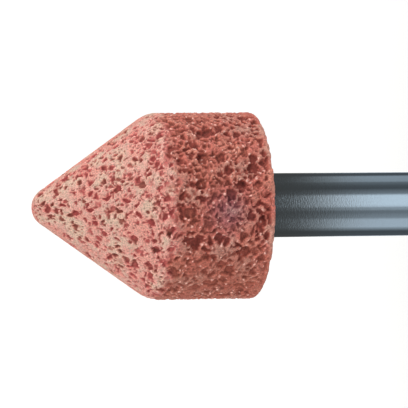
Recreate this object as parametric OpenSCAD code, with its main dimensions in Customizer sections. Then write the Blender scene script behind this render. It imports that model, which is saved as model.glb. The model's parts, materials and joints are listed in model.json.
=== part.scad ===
// Mounted grinding point: a pointed cylinder of bonded abrasive, set on a plain steel shank
// It stands on the flat end of its shank with the nose up, and +Z is its axis

/* [Head] */
// Diameter of the abrasive head across its cylinder
head_d = 17.5; // [14:0.5:24]
// Length of the head, from its flat back to the tip of its nose
head_len = 21; // [18:0.5:28]
// Length of the cylinder, up to the corner from which the cone starts
land_len = 9.9; // [7:0.1:12]
// Radius of the rounded nose
nose_r = 1.9; // [1:0.1:3]
// Radius of the shoulder that blends the cylinder into the cone
shoulder_r = 3.4; // [1:0.1:4.5]
// Radius of the edge round the back face
back_edge_r = 0.5; // [0.2:0.05:1]

/* [Pores] */
// Number of large open pores over the outside of the head
pore_count = 240; // [40:10:300]
// Width of the smallest of them on the cylinder
pore_w_min = 0.6; // [0.3:0.05:0.9]
// Width of the largest of them on the cylinder
pore_w_max = 1.6; // [1:0.05:2]
// Depth of the widest pore
pore_depth = 0.5; // [0.2:0.05:0.8]

/* [Shank] */
// Diameter of the steel shank
shank_d = 6; // [3:0.5:8]
// Length of the shank that stands free of the head
shank_len = 40; // [20:1:60]
// Depth to which the shank is set into the head
set_depth = 11.5; // [9:0.1:13]
// Step by which the set end is turned down, all round
set_step = 0.2; // [0.1:0.05:0.4]
// Chamfer on both ends of the shank
end_chamfer = 0.4; // [0.1:0.05:0.8]
// Depth of the grooves that key the set end into the cement
groove_depth = 0.25; // [0.1:0.05:0.6]
// Width of a keying groove at its mouth
groove_w = 1; // [0.6:0.1:1.5]

/* [Cement] */
// Thickness of the cement between the set end and the bore
cement_t = 0.4; // [0.25:0.05:0.6]
// Thickness of the cement between the set end and the bottom of the bore
cement_pad = 0.5; // [0.2:0.1:1]
// Height of the cement fillet along the shank, outside the bore
fillet_h = 0.35; // [0.1:0.05:1]
// Reach of the cement fillet over the back face, past the bore
fillet_w = 0.4; // [0.1:0.05:1]

/* [Hidden] */
// Facets of a full turn, in a preview of the round forms
turn_facets = 128;
// Straight steps that stand for each rounded stretch of a profile
arc_steps = 8;
// Steps between two points of the outline, where its area is summed up
band_steps = 10;
// Width of a pore on the dressed cone, as a share of its width on the cylinder
cone_pore_share = 0.65;
// Overrun of every cut
cut = 0.5;
// Grooves on the set end of the shank
groove_count = 3;

head_r = head_d / 2;
shank_r = shank_d / 2;
set_r = shank_r - set_step;
bore_r = set_r + cement_t;
bore_len = set_depth + cement_pad;

// Heights above the end of the shank
back_z = shank_len;
step_z = back_z - fillet_h;
set_z = back_z + set_depth;
bore_z = back_z + bore_len;
land_z = back_z + land_len;
nose_z = back_z + head_len - nose_r;

// The flank runs from the corner over the cylinder and touches the nose. Its normal rises by flank_a
corner_to_nose = [head_r, nose_z - land_z];
flank_a = 90 - atan2(corner_to_nose.y, corner_to_nose.x) - asin(nose_r / norm(corner_to_nose));
shoulder_z = land_z - shoulder_r * tan(flank_a / 2);

// Points of an outline as [radius, height, rise of the normal], along an arc and with steps between
function arc(centre, r, from_a, to_a) =
    [for (i = [0:arc_steps]) let (a = from_a + (to_a - from_a) * i / arc_steps)
        [centre.x + r * cos(a), centre.y + r * sin(a), a]];
function stepped(points) =
    [for (i = [1:len(points) - 1], k = [1:band_steps])
        points[i - 1] + (points[i] - points[i - 1]) * k / band_steps];

// Outside of the head from its back edge, over the shoulder, to the axis at its nose
skin = concat(
    arc([head_r - back_edge_r, back_z + back_edge_r], back_edge_r, -90, 0),
    arc([head_r - shoulder_r, shoulder_z], shoulder_r, 0, flank_a),
    arc([0, nose_z], nose_r, flank_a, 90));

// Porous stretch of the outside, from clear of the cement fillet to the nose, and its area up to each point
porous = stepped(concat([[bore_r + fillet_w + pore_w_max / 2, back_z, -90]], skin));
function band_area(i) =
    let (p = porous[i - 1], q = porous[i])
        PI * (p.x + q.x) * norm([q.x - p.x, q.y - p.y]);
areas = concat([0],
    [for (i = 1, area = 0; i < len(porous); area = area + band_area(i), i = i + 1)
        area + band_area(i)]);
area_tables = [for (value = [0:2]) [for (i = [0:len(porous) - 1]) [areas[i], porous[i][value]]]];

// Pores follow a spiral that gives each the same area, then chance shifts, leans, sizes and corners them
golden_angle = 137.508;
pore_area = areas[len(areas) - 1] / pore_count;
pore_lean = 14;
pore_corners = 6;
corner_shares = [0.65, 1];
shift_shares = [0.1, 0.9];
turn_share = 0.25;
draws = [for (k = [1:5]) rands(0, 1, pore_count, k)];
corner_draws = rands(corner_shares[0], corner_shares[1], pore_count * pore_corners, pore_corners);

// Outline of the set end: the step, which lies under the cement fillet, then grooves and end chamfer
groove_pitch = set_depth / (groove_count + 1);
groove_wall = groove_w / 4;
set_outline = concat(
    [[shank_r, step_z], [set_r, step_z]],
    [for (i = [1:groove_count]) each let (z = back_z + i * groove_pitch) [
        [set_r, z - groove_w / 2],
        [set_r - groove_depth, z - groove_wall],
        [set_r - groove_depth, z + groove_wall],
        [set_r, z + groove_w / 2]]],
    [[set_r, set_z - end_chamfer], [set_r - end_chamfer, set_z], [0, set_z]]);

module turned(outline) {
    rotate_extrude($fn = turn_facets) polygon(outline);
}

// Blind bore, moulded up the middle of the head
module bore() {
    translate([0, 0, back_z - cut]) cylinder(r = bore_r, h = bore_len + cut, $fn = turn_facets);
}

// Open pore where a cluster of grains is missing: an uneven six-sided pit, sunk square to the surface
module pore(i) {
    area = pore_area * (i + shift_shares[0] + (shift_shares[1] - shift_shares[0]) * draws[0][i]);
    place = [for (table = area_tables) lookup(area, table)];
    w = (pore_w_min + (pore_w_max - pore_w_min) * draws[1][i]) * (place.y > land_z ? cone_pore_share : 1);
    depth = pore_depth * w / pore_w_max;
    rotate([0, 0, golden_angle * (i + turn_share * draws[2][i])])
        translate([place.x, 0, place.y])
            rotate([0, 90 - place.z, 0])
                rotate([pore_lean * (2 * draws[3][i] - 1), pore_lean * (2 * draws[4][i] - 1), 0])
                    translate([0, 0, -depth])
                        linear_extrude(height = depth + cut)
                            pore_outline(w / 2, i);
}

// Uneven hexagon, whose corners lie at shares of the radius r
module pore_outline(r, i) {
    polygon([for (k = [0:pore_corners - 1]) let (a = 360 * k / pore_corners)
        r * corner_draws[i * pore_corners + k] * [cos(a), sin(a)]]);
}

// Pressed and fired block of red abrasive grain: cylinder, blunt cone and rounded nose, open-pored all over
module abrasive_head() {
    color([0.66, 0.4, 0.35])
    difference() {
        turned(concat([[0, back_z]], [for (p = skin) [p.x, p.y]]));
        bore();
        for (i = [0:pore_count - 1]) pore(i);
    }
}

// Ground steel rod, plain where it stands free and grooved where it is set
module spindle() {
    color([0.56, 0.6, 0.66])
    turned(concat([[0, 0], [shank_r - end_chamfer, 0], [shank_r, end_chamfer]], set_outline));
}

// Cement that fills the bore round the set end and ends in a small fillet on the back face
module cement() {
    color([0.72, 0.7, 0.66])
    turned(concat(
        set_outline,
        [[0, bore_z], [bore_r, bore_z], [bore_r, back_z], [bore_r + fillet_w, back_z]]));
}

abrasive_head();
spindle();
cement();
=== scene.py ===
import json
import math

import bpy
import numpy as np
from mathutils import Matrix, Vector
from mathutils.bvhtree import BVHTree

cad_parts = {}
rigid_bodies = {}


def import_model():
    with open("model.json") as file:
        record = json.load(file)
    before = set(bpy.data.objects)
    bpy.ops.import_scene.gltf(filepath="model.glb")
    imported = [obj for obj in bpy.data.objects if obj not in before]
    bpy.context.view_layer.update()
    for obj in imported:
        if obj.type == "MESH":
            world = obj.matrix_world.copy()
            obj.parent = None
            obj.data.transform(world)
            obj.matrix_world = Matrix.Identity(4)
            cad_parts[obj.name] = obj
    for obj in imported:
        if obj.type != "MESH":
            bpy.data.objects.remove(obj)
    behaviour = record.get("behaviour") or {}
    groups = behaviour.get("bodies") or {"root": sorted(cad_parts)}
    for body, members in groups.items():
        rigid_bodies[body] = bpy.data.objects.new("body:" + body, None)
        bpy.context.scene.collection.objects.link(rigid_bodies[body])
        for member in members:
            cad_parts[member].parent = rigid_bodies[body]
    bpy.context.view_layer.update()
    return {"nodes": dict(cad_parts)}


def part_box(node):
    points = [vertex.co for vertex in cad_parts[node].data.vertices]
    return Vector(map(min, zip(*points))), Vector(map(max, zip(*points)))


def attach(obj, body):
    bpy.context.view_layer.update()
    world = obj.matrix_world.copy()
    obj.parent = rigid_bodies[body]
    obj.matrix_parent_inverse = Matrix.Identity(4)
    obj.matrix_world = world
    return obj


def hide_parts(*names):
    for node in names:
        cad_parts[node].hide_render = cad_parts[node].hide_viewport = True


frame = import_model()
mm = 0.001   # lengths in the dictionaries are in mm, the scene is in metres
print("frame loaded")

# a Mix node with these settings has its share at 0, its colours at 6 and 7, and its result at 2
mixColours = {"data_type": "RGBA"}
# the order in which the dictionaries give the ends of a Map Range node
rangeEnds = ("From Min", "From Max", "To Min", "To Max")


def hexColour(code):
    # sRGB hex to the linear values that the shaders work in
    channels = [int(code[i:i + 2], 16) / 255 for i in (1, 3, 5)]
    return [c / 12.92 if c <= 0.04045 else ((c + 0.055) / 1.055) ** 2.4 for c in channels] + [1.0]


def addNode(owner, kind, settings, inputs, output=0):
    # one node: its settings, or the stops of its ramp, and its inputs, each a value, a hex colour or a socket
    node = owner.node_tree.nodes.new(kind)
    for name, value in settings.items():
        if name == "stops":
            while len(node.color_ramp.elements) < len(value):
                node.color_ramp.elements.new(1.0)
            for element, (place, colour) in zip(node.color_ramp.elements, value):
                element.position = place
                element.color = hexColour(colour) if isinstance(colour, str) else [colour] * 3 + [1.0]
        else:
            setattr(node, name, value)
    for name, value in inputs.items():
        if isinstance(value, bpy.types.NodeSocket):
            owner.node_tree.links.new(value, node.inputs[name])
        else:
            node.inputs[name].default_value = hexColour(value) if isinstance(value, str) else value
    return node.outputs[output] if node.outputs else node


def newMaterial(name):
    material = bpy.data.materials.new(name)
    material.use_nodes = True
    material.node_tree.nodes.clear()
    return material


def onlySelected(obj=None):
    for other in bpy.context.view_layer.objects:
        other.select_set(False)
    if obj:
        obj.select_set(True)
        bpy.context.view_layer.objects.active = obj


# Camera at the photograph's angle, turned on its side so that the upright nose points left
cameraSet = {
    "photoSize": 408,               # px, each side
    "shoulderPx": (148.4, 205.9),   # middle of the shoulder's corner circle in the photograph
    "pxPerMm": 10.78,               # at that circle
    "shoulderHeight": 49.9,         # mm above the end of the shank
    "tilt": 14.4,                   # degrees by which the nose leans towards the camera
    "roll": -0.55,                  # degrees by which the nose turns up in the picture
    "distance": 325.0,              # mm
    "sensor": 36.0,                 # mm
    "clip": (10, 20000),            # mm
}


def makeCamera(s):
    tilt = math.radians(s["tilt"])
    roll = math.radians(s["roll"])
    forward = Vector((0, math.cos(tilt), -math.sin(tilt)))
    level = Vector((1, 0, 0))
    rise = Vector((0, math.sin(tilt), math.cos(tilt)))
    right = math.sin(roll) * level - math.cos(roll) * rise
    up = math.cos(roll) * level + math.sin(roll) * rise
    middle = (s["photoSize"] - 1) / 2
    across, down = [(px - middle) / s["pxPerMm"] for px in s["shoulderPx"]]
    place = Vector((0, 0, s["shoulderHeight"])) - s["distance"] * forward - across * right + down * up
    data = bpy.data.cameras.new("photoCamera")
    data.sensor_width = s["sensor"]
    data.lens = s["sensor"] * s["distance"] * s["pxPerMm"] / s["photoSize"]
    data.clip_start, data.clip_end = [length * mm for length in s["clip"]]
    camera = bpy.data.objects.new("photoCamera", data)
    bpy.context.scene.collection.objects.link(camera)
    camera.matrix_world = Matrix.Translation(place * mm) @ Matrix((right, up, -forward)).transposed().to_4x4()
    bpy.context.scene.camera = camera


makeCamera(cameraSet)
print("camera placed")


# Lattice noise and cells, worked out for all points of a mesh at once
axisFactors = (73856093, 19349663, 83492791)   # large odd numbers, which mix the whole numbers of a point
seedFactor = 40503
seedStart = 977
mixingRounds = ((13, 1274126177), (15, 2246822519))   # shift and factor
lastShift = 16
lowBits = 0xFFFFFFFF
shareSteps = 65536
ownerSeed = 7


def latticeShare(cells, seed):
    # a share from 0 to 1 for each lattice point, the same in every run
    mixed = seed * seedFactor + seedStart
    for axis, factor in enumerate(axisFactors):
        mixed = mixed ^ cells[..., axis] * factor
    for shift, factor in mixingRounds:
        mixed = (mixed ^ (mixed >> shift)) * factor & lowBits
    return (mixed ^ (mixed >> lastShift)) % shareSteps / shareSteps


def smoothNoise(points, size, seed):
    # value noise from -1 to 1, with one swell per size
    scaled = points / size
    base = np.floor(scaled).astype(np.int64)
    share = scaled - base
    share = share * share * (3 - 2 * share)
    total = 0
    for corner in np.ndindex(2, 2, 2):
        corner = np.array(corner)
        weight = np.prod(np.where(corner, share, 1 - share), axis=-1)
        total = total + weight * latticeShare(base + corner, seed)
    return 2 * total - 1


def noiseSum(points, layers):
    # each layer of noise has its size in mm, its reach and its seed
    return sum(reach * smoothNoise(points, size, seed) for size, reach, seed in layers)


def wander(points, layers):
    # points shifted by noise in all three directions, one layer after the other
    for size, reach, seed in layers:
        points = points + reach * np.stack([smoothNoise(points, size, seed + k) for k in range(3)], axis=-1)
    return points


def cellField(points, spacing, seed):
    # cells round shifted lattice points: each point's distance from the border, and its cell's own share
    scaled = points / spacing
    base = np.floor(scaled).astype(np.int64)
    nearest = np.full(len(points), np.inf)
    second = np.full(len(points), np.inf)
    owner = np.zeros(len(points))
    for shift in np.ndindex(3, 3, 3):
        cell = base + np.array(shift) - 1
        jitter = np.stack([latticeShare(cell, seed + k) for k in range(3)], axis=-1)
        away = np.linalg.norm(scaled - cell - jitter, axis=-1)
        closer = away < nearest
        second = np.where(closer, nearest, np.minimum(second, away))
        owner = np.where(closer, latticeShare(cell, seed + ownerSeed), owner)
        nearest = np.where(closer, away, nearest)
    return second - nearest, owner


def smoothStep(low, high, x):
    share = np.clip((x - low) / (high - low), 0, 1)
    return share * share * (3 - 2 * share)


# Head: turned outline, dressed smooth on the cone and rough on the cylinder, the land. All lengths are in mm,
# and a noise is a list of layers, each with its size, its reach and its seed
headSet = {
    "steps": 440,                  # round the axis
    "row": 0.125,                  # between rows along the outside
    "coarseRow": 0.2,              # between rows on the back face
    "weld": 0.002,                 # within which double points are merged
    "slack": 0.01,                 # within which a point counts as lying on the back face or in the bore
    # the solid's own sizes
    "landLength": 9.9,
    "noseRadius": 1.9,
    "shoulderRadius": 3.4,
    "backEdgeRadius": 0.5,
    "boreRadius": 3.2,
    "boreLength": 12.0,
    # where the relief starts on the back face, clear of the cement fillet, and where it is full
    "bareRing": (3.75, 4.25),
    # the dressed face ends a little below the corner of cone and cylinder, along a ragged border
    "borderDrop": 0.25,
    "borderHalfWidth": 0.6,
    "borderNoise": ((1.7, 0.7, 11), (0.6, 0.4, 14)),
    # the solid's large pores: start and length of the rays that find them, ragged rims, uneven floors
    "rays": (0.2, 1.5),
    "rimWander": ((0.45, 0.13, 21), (0.22, 0.065, 31)),
    "largeShare": 0.84,
    "largeNoise": ((0.5, 0.24, 41), (0.24, 0.16, 44)),
    # finer pores: spacing of the cells, share of them that is open, how far from a cell's border, in cells,
    # the wall starts and the floor is reached, depth, and seed
    "conePores": {"spacing": 0.66, "share": 0.6, "rim": (0.16, 0.38), "depth": 0.25, "seed": 101},
    "coneSpecks": {"spacing": 0.38, "share": 0.6, "rim": (0.14, 0.38), "depth": 0.16, "seed": 201},
    "landPores": {"spacing": 0.95, "share": 0.8, "rim": (0.1, 0.5), "depth": 0.32, "seed": 301},
    "landSmall": {"spacing": 0.54, "share": 0.8, "rim": (0.1, 0.45), "depth": 0.2, "seed": 401},
    "landSpecks": {"spacing": 0.32, "share": 0.7, "rim": (0.1, 0.45), "depth": 0.1, "seed": 501},
    "poreWander": ((0.55, 0.2, 51), (0.24, 0.09, 61)),
    "cellFade": 0.25,              # share over which a cell turns from closed to open
    "landCrowding": 0.25,          # share of cells added on the land
    "crowdingEnd": 2.6,            # height above the corner at which that has faded out
    "crowdingNoise": ((2.6, -0.1, 91),),
    "speckFade": (0.2, 0.5),       # depths between which the land's specks fade out
    "grainHeight": (0.02, 0.09),   # on the cone, on the land
    "grainNoise": ((0.34, 0.3, 71), (0.2, 0.2, 81)),
    # side of the land with a shallower relief: direction, cosines at its border and middle, share taken off
    "calmTowards": (-0.86, -0.5),
    "calmReach": (0.75, 1.0),
    "calmShare": 0.22,
    # share of the relief left at the edge of the back face, and how far from it that starts and is over
    "edgeShare": 0.15,
    "edgeReach": (0.1, 0.9),
    "nearRounds": 3,               # rounds of averaging over neighbours
    "aroundRounds": 7,             # further ones
    "bluePatches": ((-0.6, -8.7, 44.5, 1.7), (6.0, 6.3, 43.0, 1.5)),   # centres and radii of cooler spots
}


def arcRow(centre, radius, start, end, row):
    count = max(3, round(radius * math.radians(abs(end - start)) / row))
    angles = [math.radians(start + (end - start) * i / count) for i in range(count + 1)]
    return [(centre[0] + radius * math.cos(a), centre[1] + radius * math.sin(a)) for a in angles]


def straightRow(start, end, row):
    count = max(1, round(math.dist(start, end) / row))
    return [tuple(a + (b - a) * i / count for a, b in zip(start, end)) for i in range(1, count)]


def headOutline(s, low, high):
    # radii and heights from the end of the bore round the outside to the tip, and the height of the corner
    backZ = low[2]
    radius = high[0]
    noseZ = high[2] - s["noseRadius"]
    cornerZ = backZ + s["landLength"]
    reach = math.hypot(radius, noseZ - cornerZ)
    flank = 90 - math.degrees(math.atan2(noseZ - cornerZ, radius) + math.asin(s["noseRadius"] / reach))
    shoulderZ = cornerZ - s["shoulderRadius"] * math.tan(math.radians(flank / 2))
    boreTop = backZ + s["boreLength"]
    bore = s["boreRadius"]
    edge = s["backEdgeRadius"]
    backEdge = arcRow((radius - edge, backZ + edge), edge, -90, 0, s["row"])
    shoulder = arcRow((radius - s["shoulderRadius"], shoulderZ), s["shoulderRadius"], 0, flank, s["row"])
    nose = arcRow((0, noseZ), s["noseRadius"], flank, 90, s["row"])
    hidden = [(0, boreTop), (bore, boreTop), (bore, backZ)]
    return (hidden + straightRow((bore, backZ), backEdge[0], s["coarseRow"]) + backEdge
            + straightRow(backEdge[-1], shoulder[0], s["row"]) + shoulder
            + straightRow(shoulder[-1], nose[0], s["row"]) + nose), cornerZ


def turnOutline(name, outline, steps, weld):
    # drawn point by point in edit mode, then spun round the axis
    onlySelected()
    start = Vector((outline[0][0], 0, outline[0][1])) * mm
    bpy.ops.mesh.primitive_plane_add(size=mm, location=start)
    piece = bpy.context.active_object
    piece.name = name
    bpy.ops.object.mode_set(mode="EDIT")
    bpy.ops.mesh.select_all(action="SELECT")
    bpy.ops.mesh.merge(type="CENTER")
    for before, after in zip(outline, outline[1:]):
        step = ((after[0] - before[0]) * mm, 0, (after[1] - before[1]) * mm)
        bpy.ops.mesh.extrude_region_move(TRANSFORM_OT_translate={"value": step})
    bpy.ops.mesh.select_all(action="SELECT")
    bpy.ops.mesh.spin(steps=steps, angle=2 * math.pi, center=(0, 0, 0), axis=(0, 0, 1))
    bpy.ops.mesh.select_all(action="SELECT")
    bpy.ops.mesh.remove_doubles(threshold=weld * mm)
    bpy.ops.mesh.normals_make_consistent(inside=False)
    bpy.ops.object.mode_set(mode="OBJECT")
    bpy.ops.object.transform_apply(location=True, rotation=True, scale=True)
    return piece


def readPoints(mesh):
    # places in mm, and normals
    places = np.empty(len(mesh.vertices) * 3)
    mesh.vertices.foreach_get("co", places)
    normals = np.empty(len(mesh.vertices) * 3, dtype=np.float32)
    mesh.vertex_normals.foreach_get("vector", normals)
    return places.reshape(-1, 3) / mm, normals.reshape(-1, 3).astype(float)


def solidDepth(places, normals, lift, reach):
    # how deep the CAD solid's own pores lie below each point of the turned surface
    solid = frame["nodes"]["abrasive_head"].data
    tree = BVHTree.FromPolygons([v.co for v in solid.vertices], [tuple(p.vertices) for p in solid.polygons])
    depth = np.zeros(len(places))
    for i, (start, normal) in enumerate(zip((places + lift * normals) * mm, normals)):
        hit = tree.ray_cast(start, -normal, reach * mm)[3]
        depth[i] = max(0.0, hit / mm - lift) if hit else 0.0
    return depth


def poreLayer(s, name, points, crowding):
    layer = s[name]
    gap, tone = cellField(points, layer["spacing"], layer["seed"])
    kept = smoothStep(0, s["cellFade"], layer["share"] + crowding - tone)
    return layer["depth"] * smoothStep(*layer["rim"], gap) * kept


def headRelief(s, places, normals, low, high, cornerZ):
    # depth below the turned surface, and how rough and how calm the face is, for each point
    radii = np.hypot(places[:, 0], places[:, 1])
    heights = places[:, 2] - low[2]

    # 1 on the outside, 0 in the bore and under the cement fillet
    inBore = (radii < s["boreRadius"] + s["slack"]) & (heights < s["boreLength"] + s["slack"])
    outside = np.where(heights < s["slack"], smoothStep(*s["bareRing"], radii), 1.0) * ~inBore

    # 0 on the dressed cone, 1 on the land and the back
    border = cornerZ - s["borderDrop"] + noiseSum(places, s["borderNoise"])
    rough = 1 - smoothStep(-s["borderHalfWidth"], s["borderHalfWidth"], places[:, 2] - border)

    # the solid's large pores
    shift = wander(places, s["rimWander"]) - places
    shift -= normals * np.sum(shift * normals, axis=1)[:, None]
    depth = solidDepth(places + shift, normals, *s["rays"])
    depth = depth * (s["largeShare"] + noiseSum(places, s["largeNoise"]))

    # finer pores, cut off flat on the cone and open on the land
    ragged = wander(places, s["poreWander"])
    onLand = 1 - smoothStep(0, s["crowdingEnd"], places[:, 2] - cornerZ)
    crowding = s["landCrowding"] * onLand + noiseSum(places, s["crowdingNoise"])
    for name, share in (("conePores", 1 - rough), ("coneSpecks", 1 - rough),
                        ("landPores", rough), ("landSmall", rough)):
        depth = np.maximum(depth, poreLayer(s, name, ragged, crowding) * share)
    specks = poreLayer(s, "landSpecks", ragged, crowding) * rough
    depth = depth + specks * (1 - smoothStep(*s["speckFade"], depth))

    # grain all over, then the calm side and the edge
    least, most = s["grainHeight"]
    grain = 0.5 + noiseSum(places, s["grainNoise"])
    depth = (depth + grain * (least + (most - least) * rough)) * outside
    side = (places[:, :2] @ np.array(s["calmTowards"])) / np.maximum(radii, s["row"])
    calm = smoothStep(*s["calmReach"], side) * rough
    depth *= 1 - s["calmShare"] * calm
    edge = np.hypot(radii - high[0], heights)
    depth *= s["edgeShare"] + (1 - s["edgeShare"]) * smoothStep(*s["edgeReach"], edge)
    return depth, rough, calm


def averaged(mesh, values, rounds):
    # each point's value averaged over its neighbours, round after round
    pairs = np.empty(len(mesh.edges) * 2, dtype=np.int64)
    mesh.edges.foreach_get("vertices", pairs)
    ends = np.concatenate([pairs[0::2], pairs[1::2]])
    others = np.concatenate([pairs[1::2], pairs[0::2]])
    neighbours = np.bincount(ends, minlength=len(values))
    for step in range(rounds):
        values = np.bincount(ends, weights=values[others], minlength=len(values)) / neighbours
    return values


def makeHead(s):
    low, high = [[c / mm for c in corner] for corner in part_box("abrasive_head")]
    outline, cornerZ = headOutline(s, low, high)
    head = turnOutline("porousHead", outline, s["steps"], s["weld"])
    mesh = head.data
    places, normals = readPoints(mesh)
    depth, rough, calm = headRelief(s, places, normals, low, high, cornerZ)
    near = averaged(mesh, depth, s["nearRounds"])
    around = averaged(mesh, near, s["aroundRounds"])
    moved = (places - normals * depth[:, None]) * mm
    mesh.vertices.foreach_set("co", moved.ravel())

    blue = sum(np.exp(-(np.linalg.norm(places - np.array(centre), axis=1) / radius) ** 2)
               for *centre, radius in s["bluePatches"])
    for name, values in (("poreDepth", depth), ("roughFace", rough), ("standsOut", near - depth),
                         ("depthAround", around), ("bluePatch", blue), ("calmSide", calm)):
        layer = mesh.attributes.new(name, "FLOAT", "POINT")
        layer.data.foreach_set("value", np.ascontiguousarray(values, dtype=np.float32))
    mesh.update()
    onlySelected(head)
    bpy.ops.object.shade_smooth()
    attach(head, "root")
    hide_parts("abrasive_head")
    return head


head = makeHead(headSet)
print("head modelled", len(head.data.polygons), "faces")


# Fired, vitrified-bond abrasive: matt grain, pale where it was dressed flat, red and brown in the pores, with
# painted shade that darkens pores and hollows with depth.
# A ramp's stops are given by the value that runs along it: a noise from 0 to 1, or a depth in mm
grainSet = {
    "roughness": 0.85,
    "ior": 1.5,
    # noises: mm from one swell to the next, and how much finer noise they have
    "dust": (1.5, 3.0),        # patches of tan and pink
    "patch": (2.8, 2.0),       # patches of grey and warm grain on the cylinder
    "grit": (0.13, 1.0),       # single grains
    "pits": (0.14, 2.0),       # pits between the grains
    "pitDepth": 0.06,          # mm
    "pitStrength": 0.8,
    "uneven": 0.24,            # mm of depth by which the grit shifts the borders between colours
    # cone
    "plateau": ((0.4, "#DC998A"), (0.5, "#DAA596"), (0.6, "#D8B49F")),   # by dust, from pink to tan
    "halo": "#C86C62",                                                   # pinker rings round the pores
    "haloShare": ((0.05, 0.0), (0.15, 0.7)),                             # by the depth around
    "redPoreShadedByDepth": ((0.08, "#D27C74"), (0.2, "#BC5652"), (0.4, "#8A3634")),  # by depth: red is the grain's own colour, the darkening with depth is painted shade
    "brownPoreShadedByDepth": ((0.08, "#C07C6C"), (0.2, "#9A5446"), (0.4, "#663026")),
    "brownShare": ((0.47, 0.0), (0.6, 0.9)),                             # by dust
    "inPore": ((0.04, 0.0), (0.12, 1.0)),                                # by depth
    # cylinder
    "ridge": ((0.32, "#C67064"), (0.48, "#C06A5B"), (0.62, "#CA7F6D")),  # by dust
    "greyRidge": "#C09080",
    "greyShare": ((0.48, 0.0), (0.64, 0.7)),                             # by patch
    "hollowShadedByDepth": ((0.14, "#AE5648"), (0.28, "#984438"), (0.5, "#82352B")),  # by depth: the darkening with depth is painted shade
    "warmHollow": "#A85A48",
    "warmShare": ((0.38, 0.6), (0.5, 0.0)),                              # by patch
    "inHollow": ((0.08, 0.0), (0.24, 1.0)),                              # by depth
    "calm": ("#9A503A", 0.5),   # colour mixed in on the calmer side, and its share in the middle of it
    "cool": ("#84586A", 0.5),   # the same for the cooler spots
    # small dark specks: mm between them, how far they reach, share of each by chance
    "speck": "#7C3C32",
    "speckSize": 0.34,
    "speckReach": ((0.2, 1.0), (0.36, 0.0)),
    "speckShare": ((0.5, 0.0), (0.9, 0.7)),
    # painted glints, highlights painted on grains that stand out: the same, with the share of each by how far
    # it stands out, in mm
    "paintedGlint": "#F0BEB0",
    "glintSize": 0.5,
    "glintReach": ((0.16, 1.0), (0.34, 0.0)),
    "glintShare": ((0.0, 0.0), (0.05, 0.8)),
    # lift of the colour: from which value to which, and by what factors
    "rimHighlightCleftShade": (-0.06, 0.06, 0.8, 1.25),   # painted highlight on rims and painted shade in clefts, by how far a point stands out, in mm
    "gritLift": (0.25, 0.75, 0.61, 1.39),     # by grit
    "paleTowardsBack": (2.5, 1.08),      # mm above the back face over which the colour gets paler towards it, and the lift at that face
}


def coneColour(m, s, uneven, around, dust):
    # tan and pink plateaus, red or brown pores with painted shade deeper down
    plateau = addNode(m, "ShaderNodeValToRGB", {"stops": s["plateau"]}, {"Fac": dust})
    ring = addNode(m, "ShaderNodeValToRGB", {"stops": s["haloShare"]}, {"Fac": around})
    plateau = addNode(m, "ShaderNodeMix", mixColours, {0: ring, 6: plateau, 7: s["halo"]}, 2)
    red = addNode(m, "ShaderNodeValToRGB", {"stops": s["redPoreShadedByDepth"]}, {"Fac": uneven})
    brown = addNode(m, "ShaderNodeValToRGB", {"stops": s["brownPoreShadedByDepth"]}, {"Fac": uneven})
    kind = addNode(m, "ShaderNodeValToRGB", {"stops": s["brownShare"]}, {"Fac": dust})
    pore = addNode(m, "ShaderNodeMix", mixColours, {0: kind, 6: red, 7: brown}, 2)
    inPore = addNode(m, "ShaderNodeValToRGB", {"stops": s["inPore"]}, {"Fac": uneven})
    return addNode(m, "ShaderNodeMix", mixColours, {0: inPore, 6: plateau, 7: pore}, 2)


def landColour(m, s, uneven, dust, patch, calm, blue):
    # salmon ridges and red-brown hollows with painted shade deeper down, greyer or warmer by patches
    ridge = addNode(m, "ShaderNodeValToRGB", {"stops": s["ridge"]}, {"Fac": dust})
    grey = addNode(m, "ShaderNodeValToRGB", {"stops": s["greyShare"]}, {"Fac": patch})
    ridge = addNode(m, "ShaderNodeMix", mixColours, {0: grey, 6: ridge, 7: s["greyRidge"]}, 2)
    hollowShadedByDepth = addNode(m, "ShaderNodeValToRGB", {"stops": s["hollowShadedByDepth"]}, {"Fac": uneven})
    warm = addNode(m, "ShaderNodeValToRGB", {"stops": s["warmShare"]}, {"Fac": patch})
    hollowShadedByDepth = addNode(m, "ShaderNodeMix", mixColours, {0: warm, 6: hollowShadedByDepth, 7: s["warmHollow"]}, 2)
    inHollow = addNode(m, "ShaderNodeValToRGB", {"stops": s["inHollow"]}, {"Fac": uneven})
    land = addNode(m, "ShaderNodeMix", mixColours, {0: inHollow, 6: ridge, 7: hollowShadedByDepth}, 2)
    for where, (tint, most) in ((calm, s["calm"]), (blue, s["cool"])):
        share = addNode(m, "ShaderNodeMath", {"operation": "MULTIPLY"}, {0: where, 1: most})
        land = addNode(m, "ShaderNodeMix", mixColours, {0: share, 6: land, 7: tint}, 2)
    return land


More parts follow.
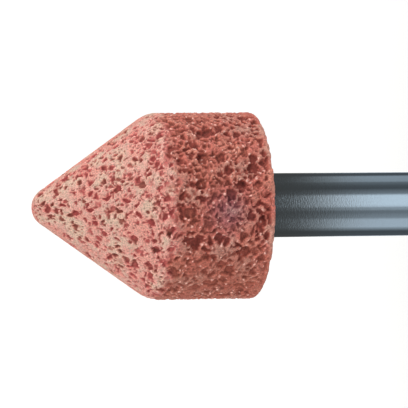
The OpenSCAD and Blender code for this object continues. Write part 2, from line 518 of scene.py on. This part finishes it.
def specksAndPaintedGlints(m, s, colour, spot, stands):
    # small dark specks, and painted glints, pale spots painted on what stands out in place of highlights
    cells = {"Vector": spot, "Scale": 1 / (s["speckSize"] * mm)}
    away = addNode(m, "ShaderNodeTexVoronoi", {}, cells, "Distance")
    chance = addNode(m, "ShaderNodeTexVoronoi", {}, cells, "Color")
    near = addNode(m, "ShaderNodeValToRGB", {"stops": s["speckReach"]}, {"Fac": away})
    some = addNode(m, "ShaderNodeValToRGB", {"stops": s["speckShare"]}, {"Fac": chance})
    dark = addNode(m, "ShaderNodeMath", {"operation": "MULTIPLY"}, {0: near, 1: some})
    colour = addNode(m, "ShaderNodeMix", mixColours, {0: dark, 6: colour, 7: s["speck"]}, 2)
    # painted glints: pale spots that stand in for highlights
    cells = {"Vector": spot, "Scale": 1 / (s["glintSize"] * mm)}
    away = addNode(m, "ShaderNodeTexVoronoi", {}, cells, "Distance")
    near = addNode(m, "ShaderNodeValToRGB", {"stops": s["glintReach"]}, {"Fac": away})
    some = addNode(m, "ShaderNodeValToRGB", {"stops": s["glintShare"]}, {"Fac": stands})
    glintMask = addNode(m, "ShaderNodeMath", {"operation": "MULTIPLY"}, {0: near, 1: some})
    return addNode(m, "ShaderNodeMix", mixColours, {0: glintMask, 6: colour, 7: s["paintedGlint"]}, 2)


def vitrifiedGrain(s):
    m = newMaterial("vitrifiedGrainFired")
    spot = addNode(m, "ShaderNodeTexCoord", {}, {}, "Object")
    depth, rough, stands, around, blue, calm = [
        addNode(m, "ShaderNodeAttribute", {"attribute_name": name}, {}, "Fac")
        for name in ("poreDepth", "roughFace", "standsOut", "depthAround", "bluePatch", "calmSide")]
    dust, patch, grit, pits = [
        addNode(m, "ShaderNodeTexNoise", {}, {"Vector": spot, "Scale": 1 / (size * mm), "Detail": detail})
        for size, detail in (s["dust"], s["patch"], s["grit"], s["pits"])]
    uneven = addNode(m, "ShaderNodeMath", {"operation": "MULTIPLY_ADD"}, {0: grit, 1: s["uneven"], 2: depth})
    uneven = addNode(m, "ShaderNodeMath", {"operation": "SUBTRACT"}, {0: uneven, 1: s["uneven"] / 2})

    cone = coneColour(m, s, uneven, around, dust)
    land = landColour(m, s, uneven, dust, patch, calm, blue)
    colour = addNode(m, "ShaderNodeMix", mixColours, {0: rough, 6: cone, 7: land}, 2)
    colour = specksAndPaintedGlints(m, s, colour, spot, stands)

    # painted highlight on rims and painted shade in clefts, each grain a little of its own, and paler towards
    # the back face
    height = addNode(m, "ShaderNodeSeparateXYZ", {}, {"Vector": spot}, "Z")
    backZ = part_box("abrasive_head")[0][2]
    reach, paler = s["paleTowardsBack"]
    backLift = (backZ, backZ + reach * mm, paler, 1.0)
    lift = 1.0
    for value, ends in ((stands, s["rimHighlightCleftShade"]), (grit, s["gritLift"]), (height, backLift)):
        factor = addNode(m, "ShaderNodeMapRange", {}, {"Value": value, **dict(zip(rangeEnds, ends))})
        lift = addNode(m, "ShaderNodeMath", {"operation": "MULTIPLY"}, {0: lift, 1: factor})
    colour = addNode(m, "ShaderNodeVectorMath", {"operation": "SCALE"}, {0: colour, "Scale": lift})

    bumped = addNode(m, "ShaderNodeBump", {}, {
        "Height": pits, "Distance": s["pitDepth"] * mm, "Strength": s["pitStrength"]})
    shader = addNode(m, "ShaderNodeBsdfPrincipled", {}, {
        "Base Color": colour, "Roughness": s["roughness"], "IOR": s["ior"], "Normal": bumped})
    addNode(m, "ShaderNodeOutputMaterial", {}, {"Surface": shader})
    return m


head.data.materials.clear()
head.data.materials.append(vitrifiedGrain(grainSet))


# Ground carbon steel, bright, with marks round the shank that stretch its reflections along the axis
steelSet = {
    "colour": "#BCC4C6",
    "roughness": (0.3, 0.7, 0.08, 0.13),   # two values of the noise, and the roughness at each
    "markSize": 0.3,       # mm from one mark to the next, coarser than real ones so that they show
    "markDetail": 3.0,
    "markSqueeze": 3.0,    # how many times closer the marks lie along the axis than round it
    "markDepth": 0.003,    # mm
}


def groundSteel(s):
    m = newMaterial("carbonSteelGround")
    spot = addNode(m, "ShaderNodeTexCoord", {}, {}, "Object")
    spot = addNode(m, "ShaderNodeVectorMath", {"operation": "MULTIPLY"}, {
        0: spot, 1: (1, 1, s["markSqueeze"])})
    marks = addNode(m, "ShaderNodeTexNoise", {}, {
        "Vector": spot, "Scale": 1 / (s["markSize"] * mm), "Detail": s["markDetail"]})
    bumped = addNode(m, "ShaderNodeBump", {}, {"Height": marks, "Distance": s["markDepth"] * mm})
    rough = addNode(m, "ShaderNodeMapRange", {}, {"Value": marks, **dict(zip(rangeEnds, s["roughness"]))})
    shader = addNode(m, "ShaderNodeBsdfPrincipled", {}, {
        "Base Color": s["colour"], "Metallic": 1.0, "Roughness": rough, "Normal": bumped})
    addNode(m, "ShaderNodeOutputMaterial", {}, {"Surface": shader})
    return m


# Mineral cement as it set: pale and matt, with fine sand in it
cementSet = {
    "colours": ((0.4, "#C0BAAE"), (0.62, "#A29A8C")),
    "roughness": 0.9,
    "sand": 0.2,           # mm from one grain to the next
    "sandDetail": 2.0,
    "sandHeight": 0.03,    # mm
}


def setCement(s):
    m = newMaterial("mineralCementSet")
    spot = addNode(m, "ShaderNodeTexCoord", {}, {}, "Object")
    sand = addNode(m, "ShaderNodeTexNoise", {}, {
        "Vector": spot, "Scale": 1 / (s["sand"] * mm), "Detail": s["sandDetail"]})
    colour = addNode(m, "ShaderNodeValToRGB", {"stops": s["colours"]}, {"Fac": sand})
    bumped = addNode(m, "ShaderNodeBump", {}, {"Height": sand, "Distance": s["sandHeight"] * mm})
    shader = addNode(m, "ShaderNodeBsdfPrincipled", {}, {
        "Base Color": colour, "Roughness": s["roughness"], "Normal": bumped})
    addNode(m, "ShaderNodeOutputMaterial", {}, {"Surface": shader})
    return m


for node, material in (("spindle", groundSteel(steelSet)), ("cement", setCement(cementSet))):
    mesh = frame["nodes"][node].data
    mesh.materials.clear()
    mesh.materials.append(material)
print("materials set")


# Plain matt floor, white for the camera and in reflections
floorSet = {
    "size": 6000,          # mm
    "colour": "#EDEDEB",
    # white that the camera sees on top of the lit floor, by mm from the axis: less near the object's shadow
    "glow": ((48, 0.2), (100, 0.4), (340, 0.66)),
}


def makeFloor(s):
    onlySelected()
    bpy.ops.mesh.primitive_plane_add(size=s["size"] * mm)
    floor = bpy.context.active_object
    floor.name = "floor"
    m = newMaterial("paleFloor")
    camera = addNode(m, "ShaderNodeLightPath", {}, {}, "Is Camera Ray")
    gloss = addNode(m, "ShaderNodeLightPath", {}, {}, "Is Glossy Ray")
    seen = addNode(m, "ShaderNodeMath", {"operation": "MAXIMUM"}, {0: camera, 1: gloss})
    spot = addNode(m, "ShaderNodeTexCoord", {}, {}, "Object")
    reach = addNode(m, "ShaderNodeVectorMath", {"operation": "LENGTH"}, {0: spot}, "Value")
    far = s["glow"][-1][0]
    reach = addNode(m, "ShaderNodeMath", {"operation": "DIVIDE"}, {0: reach, 1: far * mm})
    stops = [(radius / far, level) for radius, level in s["glow"]]
    glow = addNode(m, "ShaderNodeValToRGB", {"stops": stops}, {"Fac": reach})
    glow = addNode(m, "ShaderNodeMath", {"operation": "MULTIPLY"}, {0: seen, 1: glow})
    matt = addNode(m, "ShaderNodeBsdfDiffuse", {}, {"Color": s["colour"]})
    white = addNode(m, "ShaderNodeEmission", {}, {"Strength": glow})
    both = addNode(m, "ShaderNodeAddShader", {}, {0: matt, 1: white})
    addNode(m, "ShaderNodeOutputMaterial", {}, {"Surface": both})
    floor.data.materials.append(m)


# Card round the shank with dark and light stretches, seen only in reflections: they give the rod its bands
cardSet = {
    "radii": (3.1, 155),   # mm, inner and outer
    "lift": 0.1,           # mm above the floor
    "rise": 70,            # mm, the wall at its outer edge
    "sides": 96,
    # degrees round from the camera, towards +X, and level
    "levels": ((-163, 0.5), (-157, 0.1), (-112, 0.1), (-96, 0.4), (-88, 0.66), (-56, 0.66), (-49, 0.36),
               (-36, 0.3), (-31, 0.25), (-23, 0.25), (-19, 0.43), (-12, 0.45), (-7, 0.85), (0, 0.94),
               (31, 0.94), (38, 0.3), (52, 0.18), (58, 0.1), (70, 0.12), (86, 0.22), (90, 0.4),
               (119, 0.42), (129, 0.1), (157, 0.1), (163, 0.5)),
    "plain": 0.07,                      # level further out
    "fade": (129, 102, 0.0, 1.0),       # two distances from the axis in mm, and the stretches' share at each
    "tints": ((0.0, "#DEEEFF"), (1.0, "#EEEEEE")),   # bluish near the shank, neutral further out
    "tintReach": (98, 134, 0.0, 1.0),   # two distances in mm, and the place along the tints at each
    "strength": 1.29,
}


def stripedCard(s):
    m = newMaterial("stripedCard")
    spot = addNode(m, "ShaderNodeTexCoord", {}, {}, "Object")
    turn = {"Vector": spot, "Angle": math.pi / 2}
    turned = addNode(m, "ShaderNodeVectorRotate", {"rotation_type": "Z_AXIS"}, turn)
    around = addNode(m, "ShaderNodeTexGradient", {"gradient_type": "RADIAL"}, {"Vector": turned}, "Fac")
    stops = [((angle + 180) / 360, level) for angle, level in s["levels"]]
    stripes = addNode(m, "ShaderNodeValToRGB", {"stops": stops}, {"Fac": around})
    flat = addNode(m, "ShaderNodeVectorMath", {"operation": "MULTIPLY"}, {0: spot, 1: (1, 1, 0)})
    reach = addNode(m, "ShaderNodeVectorMath", {"operation": "LENGTH"}, {0: flat}, "Value")
    reach = addNode(m, "ShaderNodeMath", {"operation": "DIVIDE"}, {0: reach, 1: mm})
    share = addNode(m, "ShaderNodeMapRange", {}, {"Value": reach, **dict(zip(rangeEnds, s["fade"]))})
    shown = addNode(m, "ShaderNodeMix", mixColours, {0: share, 6: [s["plain"]] * 3 + [1.0], 7: stripes}, 2)
    share = addNode(m, "ShaderNodeMapRange", {}, {"Value": reach, **dict(zip(rangeEnds, s["tintReach"]))})
    tint = addNode(m, "ShaderNodeValToRGB", {"stops": s["tints"]}, {"Fac": share})
    shown = addNode(m, "ShaderNodeVectorMath", {"operation": "MULTIPLY"}, {0: shown, 1: tint})
    light = addNode(m, "ShaderNodeEmission", {}, {"Color": shown, "Strength": s["strength"]})
    addNode(m, "ShaderNodeOutputMaterial", {}, {"Surface": light})
    return m


def makeCard(s):
    inner, outer = s["radii"]
    onlySelected()
    bpy.ops.mesh.primitive_circle_add(vertices=s["sides"], radius=inner * mm, location=(0, 0, s["lift"] * mm))
    card = bpy.context.active_object
    card.name = "reflectionCard"
    bpy.ops.object.mode_set(mode="EDIT")
    bpy.ops.mesh.select_all(action="SELECT")
    bpy.ops.mesh.extrude_region_move()
    bpy.ops.transform.resize(value=(outer / inner, outer / inner, 1))
    bpy.ops.mesh.extrude_region_move(TRANSFORM_OT_translate={"value": (0, 0, s["rise"] * mm)})
    bpy.ops.mesh.select_all(action="SELECT")
    bpy.ops.mesh.normals_make_consistent(inside=False)
    bpy.ops.object.mode_set(mode="OBJECT")
    bpy.ops.object.transform_apply(location=True, rotation=True, scale=True)
    card.data.materials.append(stripedCard(s))
    for kind in ("camera", "diffuse", "transmission", "volume_scatter", "shadow"):
        setattr(card, "visible_" + kind, False)


# Plain soft room: an even light from all round and three large lamps
roomSet = {
    "world": 0.4,
    "lamps": {   # place and size in mm
        "above": {"place": (50, -180, 400), "size": 220, "watts": 0.75},
        "left": {"place": (330, -60, 120), "size": 220, "watts": 0.4},
        "right": {"place": (-330, -40, 90), "size": 220, "watts": 0.37},
    },
    "aim": 48,   # mm above the floor
}


def lightRoom(s):
    world = bpy.data.worlds.new("softRoom")
    world.use_nodes = True
    world.node_tree.nodes.clear()
    camera = addNode(world, "ShaderNodeLightPath", {}, {}, "Is Camera Ray")
    room = addNode(world, "ShaderNodeBackground", {}, {"Color": "#FFFFFF", "Strength": s["world"]})
    white = addNode(world, "ShaderNodeBackground", {}, {"Color": "#FFFFFF", "Strength": 1.0})
    both = addNode(world, "ShaderNodeMixShader", {}, {0: camera, 1: room, 2: white})
    addNode(world, "ShaderNodeOutputWorld", {}, {"Surface": both})
    bpy.context.scene.world = world
    for name, lamp in s["lamps"].items():
        data = bpy.data.lights.new(name, "AREA")
        data.size = lamp["size"] * mm
        data.energy = lamp["watts"]
        obj = bpy.data.objects.new(name, data)
        bpy.context.scene.collection.objects.link(obj)
        place = Vector(lamp["place"])
        obj.location = place * mm
        obj.rotation_euler = (Vector((0, 0, s["aim"])) - place).to_track_quat("-Z", "Y").to_euler()
        obj.visible_camera = False


makeFloor(floorSet)
makeCard(cardSet)
lightRoom(roomSet)
bpy.context.scene.view_settings.view_transform = "Standard"
print("studio lit")
